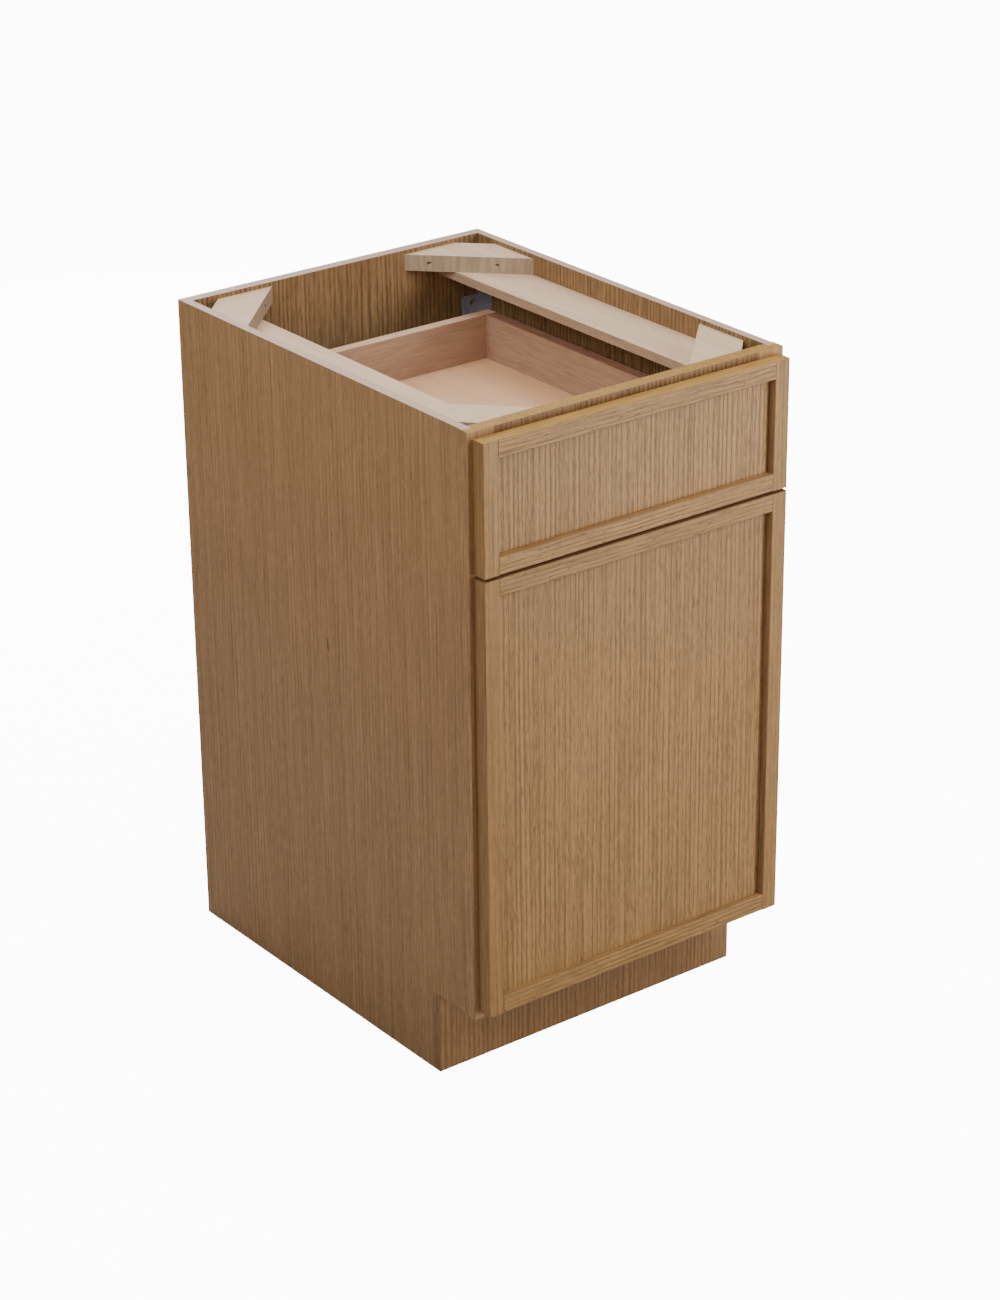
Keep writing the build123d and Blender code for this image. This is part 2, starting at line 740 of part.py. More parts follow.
# Hinges: an arm on the stile, a link, and a cup sunk in the door
ear_near = link_half_width + ear_gap
ear_far = ear_near + ear_thick
x_jaw = x_plate - arm_jaw
x_nose = opening_edge - arm_nose_air
for name, z_hinge in hinges:
    with BuildPart() as hinge_arm:
        with BuildSketch(Plane.YZ.offset(x_plate)):
            with Locations(((y_plate[0] + y_plate[1]) / 2, z_hinge)):
                RectangleRounded(arm_plate_depth, arm_plate_height, arm_plate_round)
        extrude(amount=arm_plate)
        for z_ear in (z_hinge - ear_far, z_hinge + ear_near):
            with BuildSketch(Plane.XY.offset(z_ear)):
                with BuildLine():
                    Polyline(
                        (x_plate, y_plate[1] - arm_plate_round),
                        (x_plate, y_plate[0]),
                        (opening_edge - screw_fit, y_plate[0]),
                        (x_nose, y_face),
                        (x_nose, y_face - arm_nose_reach),
                        (x_case_pivot, y_case_pivot + eye_radius),
                        (x_case_pivot, y_case_pivot - eye_radius),
                        (x_plate - arm_step, y_case_pivot - eye_radius),
                        (x_jaw, y_case_pivot),
                        (x_jaw, y_plate[0] + arm_plate_round),
                        close=True,
                    )
                make_face()
                with Locations((x_case_pivot, y_case_pivot)):
                    Circle(eye_radius)
                    Circle(hinge_pin_radius, mode=Mode.SUBTRACT)
            extrude(amount=ear_thick)
        y_web = (y_plate[0] - arm_step, y_plate[0] + arm_web_depth)
        slab((x_jaw, x_jaw + arm_web), y_web, (z_hinge - ear_far, z_hinge + ear_far))
        pilot_holes(arm_screws, arm_screw)
    save(hinge_arm, f"hinge_arm_{name}")

    x_flange = (x_cup - cup_flange_reach, front_edge - cup_flange_edge)
    with BuildPart() as hinge_cup:
        with BuildSketch(Plane.XZ.offset(-y_front_back)):
            with Locations((x_cup, z_hinge)):
                Circle(cup_radius - screw_fit)
        extrude(amount=cup_depth - screw_fit)
        with BuildSketch(Plane.XZ.offset(-y_front_back)):
            with Locations(((x_flange[0] + x_flange[1]) / 2, z_hinge)):
                RectangleRounded(x_flange[1] - x_flange[0], cup_flange_height, cup_flange_round)
        extrude(amount=-cup_flange)
        with BuildSketch(Plane.XZ.offset(-y_front_back - cup_flange)):
            with Locations((x_cup, z_hinge)):
                Circle(cup_radius - cup_wall - screw_fit)
        extrude(amount=cup_depth + cup_flange - cup_wall, mode=Mode.SUBTRACT)
        with BuildSketch(Plane.XZ.offset(-y_front_back)):
            for spread in (-dowel_spread, dowel_spread):
                with Locations((x_cup - dowel_offset, z_hinge + spread)):
                    Circle(dowel_radius)
        extrude(amount=cup_depth - tip_room)
        x_cheek = (x_door_pivot - eye_radius, x_door_pivot + eye_radius)
        y_cheek = (y_front_back - cup_depth + cup_wall, y_door_pivot + eye_radius)
        for z_cheek in ((z_hinge - ear_far, z_hinge - ear_near), (z_hinge + ear_near, z_hinge + ear_far)):
            slab(x_cheek, y_cheek, z_cheek)
        drill((x_door_pivot, y_door_pivot, z_hinge + ear_far), (0, 0, 1), hinge_pin_radius, 2 * ear_far)
    save(hinge_cup, f"hinge_cup_{name}")

with BuildPart() as hinge_links:
    for _, z_hinge in hinges:
        pivots = ((x_case_pivot, y_case_pivot), (x_door_pivot, y_door_pivot))
        belly = ((x_case_pivot + x_door_pivot) / 2, (y_case_pivot + y_door_pivot) / 2 - link_bow)
        with BuildSketch(Plane.XY.offset(z_hinge - link_half_width)):
            with BuildLine() as spine:
                ThreePointArc(pivots[0], belly, pivots[1])
            trace(line_width=link_thick)
            with Locations(*pivots):
                Circle(eye_radius)
            with Locations(*pivots):
                Circle(hinge_pin_radius + hinge_pin_air, mode=Mode.SUBTRACT)
        extrude(amount=2 * link_half_width)
save(hinge_links, "hinge_links")

pin_sets = (("hinge_arm_pins", x_case_pivot, y_case_pivot), ("hinge_cup_pins", x_door_pivot, y_door_pivot))
for name, x_pin, y_pin in pin_sets:
    with BuildPart() as pins:
        with Locations(*[(x_pin, y_pin, z_hinge) for _, z_hinge in hinges]):
            Cylinder(hinge_pin_radius, 2 * ear_far)
    save(pins, name)

with BuildPart() as screws:
    drive_screws(arm_screws, arm_screw)
save(screws, "hinge_arm_screws")
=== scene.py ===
# %% [markdown]
# # A kitchen base cabinet in oak, dressed for its portrait
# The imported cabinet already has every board, hinge and slide at its true size.
# Blender's job here is the finish: the oak veneer, the birch drawer, the zinc of the slides,
# and a camera and light that show them as a catalogue photograph would.
# Nothing that came with the frame is moved. It only gets better materials,
# and a few pieces that are too fine for the engineering model are built anew.

# %% Load the cabinet and measure it
import json
import math

import bmesh
import bpy
from mathutils import Matrix, Vector


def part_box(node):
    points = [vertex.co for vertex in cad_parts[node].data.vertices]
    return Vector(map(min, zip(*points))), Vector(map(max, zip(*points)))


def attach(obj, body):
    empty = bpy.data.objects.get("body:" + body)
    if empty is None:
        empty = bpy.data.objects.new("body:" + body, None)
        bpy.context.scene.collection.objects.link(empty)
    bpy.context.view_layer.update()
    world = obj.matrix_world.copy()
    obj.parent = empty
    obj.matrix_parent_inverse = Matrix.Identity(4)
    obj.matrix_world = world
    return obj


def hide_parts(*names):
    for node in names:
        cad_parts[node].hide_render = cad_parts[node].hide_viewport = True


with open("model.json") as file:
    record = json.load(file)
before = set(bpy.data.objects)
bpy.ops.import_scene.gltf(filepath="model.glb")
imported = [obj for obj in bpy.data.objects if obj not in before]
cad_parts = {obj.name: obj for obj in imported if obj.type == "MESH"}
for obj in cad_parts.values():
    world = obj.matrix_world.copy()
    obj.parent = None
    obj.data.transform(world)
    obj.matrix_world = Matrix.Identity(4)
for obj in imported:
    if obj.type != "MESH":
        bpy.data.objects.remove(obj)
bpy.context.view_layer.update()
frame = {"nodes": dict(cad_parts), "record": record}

boards = frame["nodes"]
print("pieces from the frame:", len(boards))

# %% [markdown]
# ## Colours as the eye reads them
# Screen colours are stored on a curve, but light adds up in a straight line.
# Picking colours by their familiar 0 to 255 values and converting them once keeps
# every later cell readable, and keeps the mixing correct.


# %% Screen colour to light
def tint(red, green, blue):
    """Turns a 0-255 screen colour into the linear colour that a shader mixes."""
    def straighten(level):
        level /= 255
        return level / 12.92 if level <= 0.04045 else ((level + 0.055) / 1.055) ** 2.4
    return (straighten(red), straighten(green), straighten(blue), 1.0)


print("mid oak in linear light:", [round(v, 3) for v in tint(150, 115, 78)])

# %% [markdown]
# ## A bench for mixing finishes
# A node material is a small graph: places on the object go in, a colour and a surface come out.
# Wiring each node by hand hides the idea, so this bench keeps the wiring in one place.
# Most methods add a node and hand back its output, so the recipes below read like sums.
# The last three give the surface its colour, its relief and its polish.


# %% The finish bench
class Finish:
    """One material in the making, built around a single Principled shader."""

    def __init__(self, name, roughness, metallic=0.0, gloss=0.5):
        self.material = bpy.data.materials.new(name)
        self.material.use_nodes = True
        self.tree = self.material.node_tree
        self.shader = self.tree.nodes["Principled BSDF"]
        self.shader.inputs["Roughness"].default_value = roughness
        self.shader.inputs["Metallic"].default_value = metallic
        self.shader.inputs["Specular IOR Level"].default_value = gloss
        where = self.tree.nodes.new("ShaderNodeTexCoord")
        self.place = where.outputs["Object"]
        self.facing = where.outputs["Normal"]

    def feed(self, socket, value):
        """Sets a socket to a plain value, or joins another node's output to it."""
        if isinstance(value, bpy.types.NodeSocket):
            self.tree.links.new(value, socket)
        else:
            socket.default_value = value

    def sum(self, operation, first, second=0.0, third=0.0):
        """One arithmetic step on single numbers."""
        node = self.tree.nodes.new("ShaderNodeMath")
        node.operation = operation
        for socket, value in zip(node.inputs, (first, second, third)):
            self.feed(socket, value)
        return node.outputs[0]

    def move(self, operation, first, second):
        """One arithmetic step on places or directions."""
        node = self.tree.nodes.new("ShaderNodeVectorMath")
        node.operation = operation
        self.feed(node.inputs[0], first)
        self.feed(node.inputs[1], second)
        return node.outputs[0]

    def part(self, vector, axis):
        """The x, y or z of a place or direction."""
        node = self.tree.nodes.new("ShaderNodeSeparateXYZ")
        self.feed(node.inputs[0], vector)
        return node.outputs["xyz".index(axis)]

    def cloud(self, place, scale, detail=2.0, roughness=0.5):
        """Smooth random values, about a half on average."""
        node = self.tree.nodes.new("ShaderNodeTexNoise")
        self.feed(node.inputs["Vector"], place)
        self.feed(node.inputs["Scale"], scale)
        self.feed(node.inputs["Detail"], detail)
        self.feed(node.inputs["Roughness"], roughness)
        return node.outputs["Fac"]

    def drift(self, place, scale, amount):
        """A random nudge to a place, at most about half this many metres each way."""
        node = self.tree.nodes.new("ShaderNodeTexNoise")
        self.feed(node.inputs["Vector"], place)
        self.feed(node.inputs["Scale"], scale)
        self.feed(node.inputs["Detail"], 1.0)
        centred = self.move("SUBTRACT", node.outputs["Color"], (0.5, 0.5, 0.5))
        return self.move("MULTIPLY", centred, (amount, amount, amount))

    def specks(self, place, density, reach):
        """Round spots, one to a random cell, that fade out this many metres from their middle."""
        node = self.tree.nodes.new("ShaderNodeTexVoronoi")
        self.feed(node.inputs["Vector"], place)
        self.feed(node.inputs["Scale"], density)
        away = node.outputs["Distance"]
        return self.sum("SUBTRACT", 1.0, self.step(away, reach * density / 2, reach * density))

    def turned(self, place, axis, angle):
        """A place turned a little about one axis."""
        node = self.tree.nodes.new("ShaderNodeVectorRotate")
        node.rotation_type = f"{axis.upper()}_AXIS"
        self.feed(node.inputs["Vector"], place)
        self.feed(node.inputs["Angle"], angle)
        return node.outputs["Vector"]

    def step(self, value, low, high):
        """Nought below the low mark, one above the high mark, smooth between."""
        node = self.tree.nodes.new("ShaderNodeMapRange")
        node.interpolation_type = "SMOOTHSTEP"
        self.feed(node.inputs["Value"], value)
        self.feed(node.inputs["From Min"], low)
        self.feed(node.inputs["From Max"], high)
        return node.outputs["Result"]

    def square_to(self, axis):
        """One on faces that look along an axis, either way, and nought on the other faces."""
        return self.step(self.sum("ABSOLUTE", self.part(self.facing, axis)), 0.5, 0.9)

    def blend(self, share, first, second, mode="MIX"):
        """Mixes two colours, by a share from nought to one."""
        node = self.tree.nodes.new("ShaderNodeMix")
        node.data_type = "RGBA"
        node.blend_type = mode
        self.feed(node.inputs["Factor"], share)
        self.feed(node.inputs[6], first)
        self.feed(node.inputs[7], second)
        return node.outputs[2]

    def colour(self, value):
        """Gives the surface its colour."""
        self.feed(self.shader.inputs["Base Color"], value)

    def relief(self, height, depth):
        """Presses a height pattern into the surface, its full swing this many metres."""
        node = self.tree.nodes.new("ShaderNodeBump")
        node.inputs["Distance"].default_value = depth
        self.feed(node.inputs["Height"], height)
        self.feed(self.shader.inputs["Normal"], node.outputs[0])

    def polish(self, value, low, high):
        """Lets a pattern vary the roughness between two values, in place of the plain one."""
        swing = self.sum("MULTIPLY_ADD", value, high - low, low)
        self.feed(self.shader.inputs["Roughness"], swing)


print("finish bench ready")

# %% [markdown]
# ## Oak, cut in different ways
# Oak has hard, straight growth lines with long open pores along them.
# Rift-cut veneer, as on these panels, shows the lines side by side, one every 7 or 8 mm.
# A solid rail shows them wavier, and a lacquered edge shows hardly any figure.
# A photograph of veneer could be wrapped on, but it would stretch at the edges and repeat.
# Here the pattern is a solid block of wood: noise that is stretched along the grain,
# and each board is taken from its own place in the log.


# %% Noise drawn out along the grain
def along(grain, width, length):
    """Scales a place so that a pattern is so wide, and so long down the grain, in metres."""
    return tuple(1.0 / (length if axis == grain else width) for axis in "xyz")


def drawn_out(wood, spot, grain, width, length, detail=1.0, roughness=0.5):
    """A cloud with patches so wide, and so long down the grain, in metres."""
    scaled = wood.move("MULTIPLY", spot, along(grain, width, length))
    return wood.cloud(scaled, 1.0, detail, roughness)


def streaks(wood, spot, grain, width, length, strength):
    """Streaks of lighter and darker wood, centred on nought."""
    shade = drawn_out(wood, spot, grain, width, length)
    return wood.sum("MULTIPLY_ADD", shade, strength, -strength / 2)


print("a streak 3 mm wide and 50 mm long scales places by", along("z", 0.003, 0.05))

# %% [markdown]
# ### Growth lines
# Each year leaves one dark line, so across the board the wood is a wave with an even pitch.
# A plain wave looks like corduroy. Here the pitch wanders slowly, the dark part is sharpened,
# and slow and quick noise make each line swell, fade and break into dashes.
# Finer and wider streaks are then laid over the lines.

# %% Growth lines
LINE_SHARPNESS = 2.6
LINE_MEAN = 0.34


def growth_lines(wood, spot, grain, face, cut):
    """How light the wood is from place to place: about one half, and less on a line."""
    across = next(axis for axis in "xyz" if axis not in (grain, face))
    wander = streaks(wood, spot, grain, width=0.045, length=1.6, strength=cut["wander"])
    turns = wood.sum("MULTIPLY_ADD", wood.part(spot, across), 1.0 / cut["pitch"], wander)
    waves = wood.sum("SINE", wood.sum("MULTIPLY", turns, 2 * math.pi))
    lines = wood.sum("POWER", wood.sum("MULTIPLY_ADD", waves, 0.5, 0.5), LINE_SHARPNESS)
    slow = streaks(wood, spot, grain, width=0.025, length=0.16, strength=3.0)
    quick = streaks(wood, spot, grain, width=0.004, length=0.022, strength=2.6)
    broken = wood.sum("ADD", wood.sum("ADD", slow, quick), 1.0)
    swell = wood.sum("MULTIPLY", broken, cut["line"])
    light = wood.sum("MULTIPLY_ADD", wood.sum("SUBTRACT", LINE_MEAN, lines), swell, 0.5)
    for width, length, strength in cut["streaks"]:
        light = wood.sum("ADD", light, streaks(wood, spot, grain, width, length, strength))
    return light


print("line sharpness:", LINE_SHARPNESS)

# %% [markdown]
# ### Pores and small marks
# Cut through, the pores show as short dark dashes that lean a few degrees from the grain.
# Here and there a small ragged mark breaks the figure, where a tiny knot lay near the surface.
# The pores are a threshold of noise: only the peaks of a stretched cloud turn dark.
# The marks are round spots, one to a random cell, torn ragged by a fine nudge.

# %% Pores and marks
PORE_LEAN = 0.09
MARKS_PER_METRE, MARK_REACH, MARK_LENGTHENED, MARK_WEIGHT = 7.5, 0.006, 2.0, 0.7


def pores_and_marks(wood, spot, grain, face, cut):
    """Two shares of dark: one for the pores, one for the few small marks."""
    leaning = wood.turned(spot, face, PORE_LEAN)
    dashes = drawn_out(wood, leaning, grain, *cut["pores"])
    pores = wood.sum("MULTIPLY", wood.step(dashes, low=0.60, high=0.74), cut["pore_weight"])
    ragged = wood.move("ADD", leaning, wood.drift(spot, scale=70.0, amount=0.022))
    longer = wood.move("MULTIPLY", ragged, along(grain, 1.0, MARK_LENGTHENED))
    marks = wood.specks(longer, MARKS_PER_METRE, MARK_REACH)
    return pores, wood.sum("MULTIPLY", marks, MARK_WEIGHT)


print("pores lean by", round(math.degrees(PORE_LEAN), 1), "degrees")

# %% [markdown]
# ### A sheet of veneer
# Lines, pores and marks come together in one sheet. A tone gives it three colours:
# the dark of a line, the wood between lines, and the pores. Two more colours in the same tone,
# for the edges and for the edges that look up, are used further below; the second is painted light
# on those tops, and painted shade on the door's top.


# %% A sheet of veneer
def veneer(wood, spot, grain, face, cut, tone):
    """The colour of a sheet, how light it is from place to place, and its pores."""
    light = growth_lines(wood, spot, grain, face, cut)
    pores, marks = pores_and_marks(wood, spot, grain, face, cut)
    colour = wood.blend(light, tone["dark"], tone["light"])
    return wood.blend(wood.sum("MAXIMUM", pores, marks), colour, tone["pore"]), light, pores


print("veneer ready")

# %% [markdown]
# ### Cuts
# A cut says how the lines lie: their pitch, how far they wander, how strong they are,
# and how far and how closely the whole figure bends. Then it gives the streaks over the lines
# as width, length and strength, the pores as width and length, and how dark the pores are.
# The outside of the case has soft, close figure, and the panels and the inside have bolder lines.

# %% Cuts
PANEL_CUT = {"pitch": 0.0074, "wander": 2.4, "line": 0.62, "bend": 0.0030, "bend_scale": 9.0,
             "streaks": ((0.0020, 0.25, 2.0), (0.0048, 0.35, 0.85), (0.0022, 0.014, 1.4),
                         (0.02, 0.6, 0.3)),
             "pores": (0.0020, 0.018), "pore_weight": 0.60}
SIDE_CUT = {"pitch": 0.0078, "wander": 2.8, "line": 0.22, "bend": 0.0022, "bend_scale": 12.0,
            "streaks": ((0.0024, 0.25, 1.0), (0.0030, 0.016, 0.8), (0.007, 0.12, 0.7),
                        (0.03, 0.5, 0.22)),
            "pores": (0.0022, 0.016), "pore_weight": 0.20}
INNER_CUT = {"pitch": 0.0074, "wander": 3.0, "line": 0.50, "bend": 0.0030, "bend_scale": 12.0,
             "streaks": ((0.0026, 0.12, 1.4), (0.0028, 0.018, 1.0), (0.009, 0.20, 0.45),
                         (0.03, 0.6, 0.15)),
             "pores": (0.0022, 0.018), "pore_weight": 0.36}
TOE_CUT = dict(INNER_CUT, line=0.66, pore_weight=0.45)
RAIL_CUT = {"pitch": 0.0060, "wander": 3.0, "line": 0.54, "bend": 0.0040, "bend_scale": 14.0,
            "streaks": ((0.0019, 0.05, 2.0), (0.0050, 0.15, 0.7)),
            "pores": (0.0019, 0.011), "pore_weight": 0.88}
print("a panel has a dark line every", PANEL_CUT["pitch"] * 1000, "mm")

# %% [markdown]
# ### Tones
# A tone holds the colours of one piece of oak: dark on a line, light between lines, the pores,
# the edges, and the painted top, which is an edge that looks up, coloured with painted light.
# The drawer front is a touch lighter than the door, as two boards never quite agree.
# The toe board, the inside of the case and the top rail are darker, as in the photo.

# %% Tones
# PAINTED_LIT_TOP is painted light: the tops of edges are coloured warmer and lighter than their sides.
CASE_EDGE, PAINTED_LIT_TOP = tint(158, 118, 80), tint(172, 132, 70)
DOOR_TONE = {"dark": tint(126, 94, 52), "light": tint(168, 126, 76), "pore": tint(105, 73, 37),
             "edge": tint(151, 113, 73), "painted_top": PAINTED_LIT_TOP}
DRAWER_TONE = {"dark": tint(125, 93, 52), "light": tint(178, 134, 81), "pore": tint(106, 74, 40),
               "edge": tint(152, 113, 73), "painted_top": PAINTED_LIT_TOP}
SIDE_TONE = {"dark": tint(140, 103, 64), "light": tint(184, 139, 92), "pore": tint(116, 81, 51),
             "edge": CASE_EDGE, "painted_top": PAINTED_LIT_TOP}
TOE_TONE = {"dark": tint(126, 93, 56), "light": tint(160, 119, 78), "pore": tint(102, 73, 43),
            "edge": CASE_EDGE, "painted_top": PAINTED_LIT_TOP}
INSIDE_TONE = {"dark": tint(110, 84, 54), "light": tint(162, 126, 85), "pore": tint(81, 56, 35),
               "edge": CASE_EDGE, "painted_top": PAINTED_LIT_TOP}
# The top rail's painted top is painted light as well.
RAIL_STRIP_TONE = {"dark": tint(95, 66, 34), "light": tint(143, 105, 59), "pore": tint(70, 46, 22),
                   "edge": CASE_EDGE, "painted_top": tint(175, 135, 74)}
LEVEL_RAIL_TONE = dict(SIDE_TONE, painted_top=CASE_EDGE)


def shaded(tone, red, green, blue):
    """The same wood, with its red, green and blue each multiplied by a share."""
    return {part: (r * red, g * green, b * blue, 1.0) for part, (r, g, b, _) in tone.items()}


print("light oak of the door in linear light:", [round(v, 3) for v in DOOR_TONE["light"]])

# %% [markdown]
# ### The edges of a board
# A board's edges say what it is made of. Plywood shows its layers as pale and dark bands.
# Solid oak under lacquer shows a plain tone with fine streaks, and is painted warmer where it looks up, as
# painted light.
# One material can tell the faces apart by the way they look, so one board needs only one.

# %% Board edges
PLY_LAYER = 0.0034
PLY_EDGE_DARK, PLY_EDGE_LIGHT = tint(185, 154, 134), tint(211, 183, 164)
EDGE_STREAK = (0.003, 0.06, 2.0)
STREAK_LOW, STREAK_HIGH = (0.72, 0.72, 0.72, 1.0), (1.28, 1.28, 1.28, 1.0)
EDGE_FIGURE = 0.25


def ply_edge(wood, spot, face):
    """Pale and dark layers, with a sawn roughness over them."""
    layers = wood.sum("MULTIPLY", wood.part(wood.place, face), 2 * math.pi / PLY_LAYER)
    sawn = wood.cloud(spot, scale=160.0, detail=3.0, roughness=0.6)
    bands = wood.sum("MULTIPLY_ADD", sawn, 1.2, wood.sum("SINE", layers))
    return wood.blend(wood.step(bands, low=-0.6, high=1.6), PLY_EDGE_DARK, PLY_EDGE_LIGHT)


def solid_edge(wood, spot, grain, light, colour, tone, edge):
    """A plain edge, or one that carries on the case side's figure, with painted light or painted shade on
    its top.
    """
    if edge == "plain":
        border = tone["edge"]
    else:
        border = wood.blend(light, SIDE_TONE["dark"], SIDE_TONE["light"])
    # Faces that look up take the painted top: painted light, or painted shade on the door's top.
    painted_top_mask = wood.step(wood.part(wood.facing, "z"), low=0.5, high=0.9)
    border = wood.blend(painted_top_mask, border, tone["painted_top"])
    fine = wood.sum("ADD", streaks(wood, spot, grain, *EDGE_STREAK), 0.5)
    border = wood.blend(1.0, border, wood.blend(fine, STREAK_LOW, STREAK_HIGH), "MULTIPLY")
    return wood.blend(wood.sum("MULTIPLY", light, EDGE_FIGURE), border, colour)


print("a pale and a dark layer of ply together:", round(PLY_LAYER * 1000, 1), "mm")

# %% [markdown]
# ### The oak recipe
# The show faces get the sheet of veneer and the other faces get the edge.
# The sides of the case have a second sheet on the inside, darker and bolder, as the photo shows.
# The left and right sides stand on either side of the middle, so a face whose direction has
# the sign of its place looks outward.
# The same figure presses a slight relief into the lacquer, less than a tenth of a millimetre.

# %% The oak recipe
GRAIN_RELIEF = 0.00009


def oak(name, grain, face, cut, tone, log_spot, edge):
    """Lacquered oak with its grain along one axis and its show face square to another."""
    wood = Finish(name, roughness=0.46, gloss=0.32)
    spot = wood.move("ADD", wood.place, log_spot)
    spot = wood.move("ADD", spot, wood.drift(spot, cut["bend_scale"], cut["bend"]))
    colour, light, pores = veneer(wood, spot, grain, face, cut, tone)
    if edge in ("ply", "lined ply"):
        border = ply_edge(wood, spot, face)
    else:
        border = solid_edge(wood, spot, grain, light, colour, tone, edge)
    if edge == "lined ply":
        lining = veneer(wood, spot, grain, face, INNER_CUT, INSIDE_TONE)[0]
        outward = wood.sum("MULTIPLY", wood.part(wood.facing, face), wood.part(wood.place, face))
        colour = wood.blend(wood.step(outward, low=-0.05, high=0.05), lining, colour)
    wood.colour(wood.blend(wood.square_to(face), border, colour))
    wood.relief(wood.sum("SUBTRACT", light, pores), GRAIN_RELIEF)
    wood.polish(wood.cloud(spot, scale=60.0), low=0.40, high=0.56)
    return wood.material


print("oak recipe ready")

# %% [markdown]
# ### Which board is cut how
# Every board lists its grain direction, its show face, its cut, its tone and its kind of edge.
# The grain of the case and of both panels stands upright, and only the two lower rails of the
# face frame, the shelf and the floor have it level.

# %% Oak boards
OAK_BOARDS = {
    "side_left": ("z", "x", SIDE_CUT, SIDE_TONE, "lined ply"),
    "side_right": ("z", "x", SIDE_CUT, SIDE_TONE, "lined ply"),
    "back_panel": ("z", "y", INNER_CUT, INSIDE_TONE, "ply"),
    "floor_panel": ("y", "z", SIDE_CUT, SIDE_TONE, "ply"),
    "shelf": ("x", "z", SIDE_CUT, SIDE_TONE, "ply"),
    "toe_board": ("z", "y", TOE_CUT, TOE_TONE, "figured"),
    "stile_left": ("z", "y", SIDE_CUT, SIDE_TONE, "figured"),
    "stile_right": ("z", "y", SIDE_CUT, SIDE_TONE, "figured"),
    "top_rail": ("z", "y", INNER_CUT, RAIL_STRIP_TONE, "plain"),
    "middle_rail": ("x", "y", RAIL_CUT, LEVEL_RAIL_TONE, "plain"),
    "bottom_rail": ("x", "y", RAIL_CUT, LEVEL_RAIL_TONE, "plain"),
    "drawer_front_panel": ("z", "y", PANEL_CUT, DRAWER_TONE, "plain"),
    "door_panel": ("z", "y", PANEL_CUT, DOOR_TONE, "plain"),
}
print("boards of the case, and panels:", len(OAK_BOARDS))

# %% [markdown]
# ### The frames of the door and the drawer front
# Both are framed alike: stiles with upright grain, rails with level grain.
# A frame is a touch yellower than its panel. Its right stile's edges get painted light, a lighter copy
# of the edge colour, and the top of its bottom rail gets its own painted top, a duller painted light.
# The door's top lies in the gap under the drawer front, so it gets painted shade, darker than the top of
# the drawer front.
# With the frames listed too, every oak board is dressed from its own place in the log.

# %% Frames, and dressing the oak
LOG_STRIDE = (0.37, 0.61, 0.83)
# The door's painted top is painted shade, darker for the gap under the drawer front.
FRAMED = {"door": dict(DOOR_TONE, painted_top=tint(122, 87, 58)), "drawer_front": DRAWER_TONE}
FRAME_CAST = (1.01, 1.0, 0.93)
# RIGHT_STILE_PAINTED_LIGHT_EDGE is painted light: a lighter, paler copy of the frame's edge colour for the
# right stile.
RIGHT_STILE_PAINTED_LIGHT_EDGE, BOTTOM_RAIL_PAINTED_TOP = tint(165, 128, 92), tint(155, 117, 73)
for front, panel_tone in FRAMED.items():
    frame_tone = shaded(panel_tone, *FRAME_CAST)
    right_stile_lit_tone = dict(frame_tone, edge=RIGHT_STILE_PAINTED_LIGHT_EDGE)
    # The bottom rail's top gets its own painted light, duller than the other painted tops.
    bottom_rail_painted_tone = dict(frame_tone, painted_top=BOTTOM_RAIL_PAINTED_TOP)
    OAK_BOARDS[f"{front}_stile_left"] = ("z", "y", SIDE_CUT, frame_tone, "plain")
    OAK_BOARDS[f"{front}_stile_right"] = ("z", "y", SIDE_CUT, right_stile_lit_tone, "plain")
    OAK_BOARDS[f"{front}_rail_top"] = ("x", "y", RAIL_CUT, frame_tone, "plain")
    OAK_BOARDS[f"{front}_rail_bottom"] = ("x", "y", RAIL_CUT, bottom_rail_painted_tone, "plain")


def dress(node, material):
    """Gives a piece of the frame its material, and leaves its shape alone."""
    mesh = boards[node].data
    mesh.materials.clear()
    mesh.materials.append(material)


for number, (node, (grain, face, cut, tone, edge)) in enumerate(OAK_BOARDS.items()):
    log_spot = [stride * number for stride in LOG_STRIDE]
    dress(node, oak(f"oak {node}", grain, face, cut, tone, log_spot, edge))
print("oak boards in all:", len(OAK_BOARDS))

# %% [markdown]
# ## Birch for the drawer, pale ply for the bracing
# The drawer box is lacquered birch: close, quiet grain with a pink cast and soft cross light.
# The strips and corner blocks are raw softwood and ply that nobody sees once the worktop is on.
# Both are fine-grained, so a low-contrast version of the same stretched noise is enough.

# %% The birch recipe
PLY_LAYERS, SAWN_END = (0.05, 0.0022), (0.005, 0.06)
BIRCH_FINE = (0.0024, 0.03)
LINE_LENGTHENED, LINE_SHARE = 20, 0.7
BIRCH_RELIEF = 0.00012


def birch(name, grain, face, tones, log_spot, width, edge):
    """Quiet pale wood with soft lines along the grain, so many metres wide."""
    dark, light, edge_dark, edge_light = tones
    wood = Finish(name, roughness=0.5, gloss=0.3)
    spot = wood.move("ADD", wood.place, log_spot)
    spot = wood.move("ADD", spot, wood.drift(spot, scale=5.0, amount=0.02))
    lines = drawn_out(wood, spot, grain, width, LINE_LENGTHENED * width, detail=3.0, roughness=0.6)
    fine = drawn_out(wood, spot, grain, *BIRCH_FINE, detail=2.0)
    fine_share = wood.sum("MULTIPLY", wood.step(fine, low=0.35, high=0.65), 1 - LINE_SHARE)
    share = wood.sum("MULTIPLY_ADD", wood.step(lines, low=0.34, high=0.66), LINE_SHARE, fine_share)
    layers = drawn_out(wood, spot, face, *edge, detail=2.0)
    border = wood.blend(wood.step(layers, low=0.35, high=0.65), edge_dark, edge_light)
    wood.colour(wood.blend(wood.square_to(face), border, wood.blend(share, dark, light)))
    wood.relief(fine, BIRCH_RELIEF)
    wood.polish(wood.cloud(spot, scale=45.0), low=0.42, high=0.58)
    return wood.material


print("fine birch grain is", BIRCH_FINE[0] * 1000, "mm wide")

